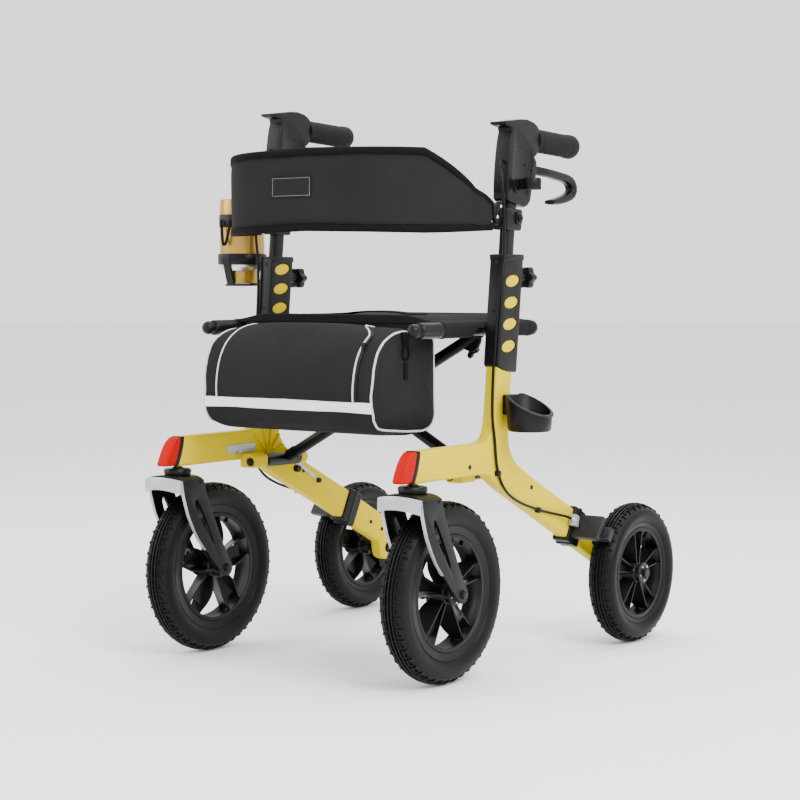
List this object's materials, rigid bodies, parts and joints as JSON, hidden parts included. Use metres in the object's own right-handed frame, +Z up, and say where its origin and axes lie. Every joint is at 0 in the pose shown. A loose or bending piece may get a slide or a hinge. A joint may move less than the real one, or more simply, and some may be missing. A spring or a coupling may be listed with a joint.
{
  "type": "rollator walker",
  "caption": "Folding walker on spoked wheels with a sling seat, front bag, padded backrest band, height-adjustable grips and looped brake levers.",
  "frame": {"origin": "middle of the bounding box's footprint, on the floor", "axes": "+Z up, -Y forwards in the walking direction, +X towards the walker's left side"},
  "size_m": [0.7602, 0.809, 0.988],
  "materials": {
    "frame_yellow": "gloss enamel",
    "black_plastic": "fine moulded texture",
    "black_metal": "satin powder coat",
    "steel": "satin",
    "tyre_rubber": "treaded rubber",
    "grip_rubber": "soft ribbed",
    "cable_black": "smooth sheath",
    "silver_trim": "satin silver",
    "reflector_red": "faceted lens",
    "fabric_grey": "woven polyester",
    "flask_gold": "satin champagne"
  },
  "bodies": {
    "left_frame": {"left_side_frame": "frame_yellow", "left_upright_sleeve": "black_plastic", "left_front_reflector": "reflector_red", "left_brake_housing": "black_plastic", "left_hinge_pin": "steel", "left_rear_axle": "steel", "left_brake_cable": "cable_black", "left_cane_cup": "black_plastic"},
    "left_handle": {"left_handle_tube": "black_metal", "left_handle_housing": "black_plastic", "left_hand_grip": "grip_rubber", "left_backrest_collar": "black_plastic", "left_cane_clip": "black_plastic", "backrest_band": "fabric_grey"},
    "left_lever": {"left_brake_lever": "black_metal"},
    "left_knob": {"left_height_knob": "black_plastic"},
    "left_shoe": {"left_brake_shoe": "grip_rubber"},
    "left_caster": {"left_caster_stem": "black_plastic", "left_caster_fork": "black_plastic", "left_fork_bumper": "silver_trim", "left_front_axle": "steel"},
    "left_front_wheel": {"left_front_tyre": "tyre_rubber", "left_front_rim": "black_plastic"},
    "left_rear_wheel": {"left_rear_tyre": "tyre_rubber", "left_rear_rim": "black_plastic"},
    "left_latch": {"left_seat_latch": "black_plastic"},
    "right_frame": {"right_side_frame": "frame_yellow", "right_upright_sleeve": "black_plastic", "right_front_reflector": "reflector_red", "right_brake_housing": "black_plastic", "right_hinge_pin": "steel", "right_rear_axle": "steel", "right_brake_cable": "cable_black", "right_drink_holder": "black_plastic"},
    "right_handle": {"right_handle_tube": "black_metal", "right_handle_housing": "black_plastic", "right_hand_grip": "grip_rubber", "right_backrest_collar": "black_plastic"},
    "right_lever": {"right_brake_lever": "black_metal"},
    "right_knob": {"right_height_knob": "black_plastic"},
    "right_shoe": {"right_brake_shoe": "grip_rubber"},
    "right_caster": {"right_caster_stem": "black_plastic", "right_caster_fork": "black_plastic", "right_fork_bumper": "silver_trim", "right_front_axle": "steel"},
    "right_front_wheel": {"right_front_tyre": "tyre_rubber", "right_front_rim": "black_plastic"},
    "right_rear_wheel": {"right_rear_tyre": "tyre_rubber", "right_rear_rim": "black_plastic"},
    "right_latch": {"right_seat_latch": "black_plastic"},
    "brace_left_foot": {"cross_brace_left_foot": "black_metal", "right_seat_rail": "black_metal", "right_rail_knob": "black_plastic", "cross_pivot_bolt": "steel"},
    "brace_right_foot": {"cross_brace_right_foot": "black_metal", "left_seat_rail": "black_metal", "left_rail_knob": "black_plastic"},
    "seat": {"seat_sling": "fabric_grey", "storage_bag": "fabric_grey"},
    "flask": {"right_drink_flask": "flask_gold"}
  },
  "joints": [
    {"name": "fold", "type": "hinge", "parent": "left_frame", "child": "brace_left_foot", "pos_m": [0.2454, -0.08825, 0.338], "axis": [0, 1, 0], "range_deg": [0, 51], "deforming": ["seat_sling", "storage_bag", "backrest_band"]},
    {"name": "brace_cross", "type": "hinge", "parent": "brace_left_foot", "child": "brace_right_foot", "pos_m": [0.0234, -0.09125, 0.46089], "axis": [0, 1, 0], "range_deg": [-102, 0]},
    {"name": "right_foot", "type": "hinge", "parent": "brace_right_foot", "child": "right_frame", "pos_m": [-0.1986, -0.08825, 0.338], "axis": [0, 1, 0], "range_deg": [0, 51]},
    {"name": "seat_level", "type": "hinge", "parent": "brace_left_foot", "child": "seat", "pos_m": [-0.2026, -0.07825, 0.586], "axis": [0, 1, 0], "range_deg": [-51, 0]},
    {"name": "left_handle_height", "type": "slide", "parent": "left_frame", "child": "left_handle", "axis": [0, 0.1044, 0.9945], "range_m": [-0.035, 0.06], "deforming": ["left_brake_cable"]},
    {"name": "left_brake_squeeze", "type": "hinge", "parent": "left_handle", "child": "left_lever", "pos_m": [0.2814, 0.00175, 0.862], "axis": [1, 0, 0], "range_deg": [-25, 12], "stiffness_Nm_per_rad": 3},
    {"name": "left_shoe_press", "type": "slide", "parent": "left_frame", "child": "left_shoe", "axis": [0, 0.809, -0.5878], "range_m": [-0.0035, 0.0017]},
    {"name": "left_knob_turn", "type": "hinge", "parent": "left_frame", "child": "left_knob", "pos_m": [0.2814, 0.01175, 0.675], "axis": [0, 1, 0], "range_deg": [0, 360]},
    {"name": "left_caster_swivel", "type": "hinge", "parent": "left_frame", "child": "left_caster", "pos_m": [0.2814, -0.33525, 0.33], "axis": [0, 0, 1], "continuous": true},
    {"name": "left_front_roll", "type": "hinge", "parent": "left_caster", "child": "left_front_wheel", "pos_m": [0.2814, -0.25205, 0.1525], "axis": [1, 0, 0], "continuous": true},
    {"name": "left_rear_roll", "type": "hinge", "parent": "left_frame", "child": "left_rear_wheel", "pos_m": [0.3431, 0.27555, 0.129], "axis": [1, 0, 0], "continuous": true},
    {"name": "left_latch_squeeze", "type": "hinge", "parent": "brace_right_foot", "child": "left_latch", "pos_m": [0.2244, -0.07825, 0.5505], "axis": [0, 1, 0], "range_deg": [0, 20], "stiffness_Nm_per_rad": 0.05},
    {"name": "right_handle_height", "type": "slide", "parent": "right_frame", "child": "right_handle", "axis": [0, 0.1044, 0.9945], "range_m": [-0.035, 0.06], "deforming": ["right_brake_cable"]},
    {"name": "right_brake_squeeze", "type": "hinge", "parent": "right_handle", "child": "right_lever", "pos_m": [-0.2346, 0.00595, 0.902], "axis": [1, 0, 0], "range_deg": [-25, 12], "stiffness_Nm_per_rad": 3},
    {"name": "right_shoe_press", "type": "slide", "parent": "right_frame", "child": "right_shoe", "axis": [0, 0.809, -0.5878], "range_m": [-0.0035, 0.0017]},
    {"name": "right_knob_turn", "type": "hinge", "parent": "right_frame", "child": "right_knob", "pos_m": [-0.2346, 0.01175, 0.675], "axis": [0, 1, 0], "range_deg": [0, 360]},
    {"name": "right_caster_swivel", "type": "hinge", "parent": "right_frame", "child": "right_caster", "pos_m": [-0.2346, -0.33525, 0.33], "axis": [0, 0, 1], "continuous": true},
    {"name": "right_front_roll", "type": "hinge", "parent": "right_caster", "child": "right_front_wheel", "pos_m": [-0.2346, -0.25205, 0.1525], "axis": [1, 0, 0], "continuous": true},
    {"name": "right_rear_roll", "type": "hinge", "parent": "right_frame", "child": "right_rear_wheel", "pos_m": [-0.2963, 0.27555, 0.129], "axis": [1, 0, 0], "continuous": true},
    {"name": "right_latch_squeeze", "type": "hinge", "parent": "brace_left_foot", "child": "right_latch", "pos_m": [-0.1776, -0.10425, 0.5505], "axis": [0, -1, 0], "range_deg": [0, 20], "stiffness_Nm_per_rad": 0.05},
    {"name": "flask_lift", "type": "slide", "parent": "right_frame", "child": "flask", "axis": [0, 0, 1], "range_m": [0, 0.15]}
  ],
  "couplings": [
    {"joint": "brace_cross", "follows": "fold", "ratio": -2},
    {"joint": "right_foot", "follows": "fold", "ratio": 1},
    {"joint": "seat_level", "follows": "fold", "ratio": -1},
    {"joint": "left_shoe_press", "follows": "left_brake_squeeze", "m_per_rad": 0.0078},
    {"joint": "right_shoe_press", "follows": "right_brake_squeeze", "m_per_rad": 0.0078},
    {"joint": "right_handle_height", "follows": "left_handle_height", "ratio": 1}
  ]
}
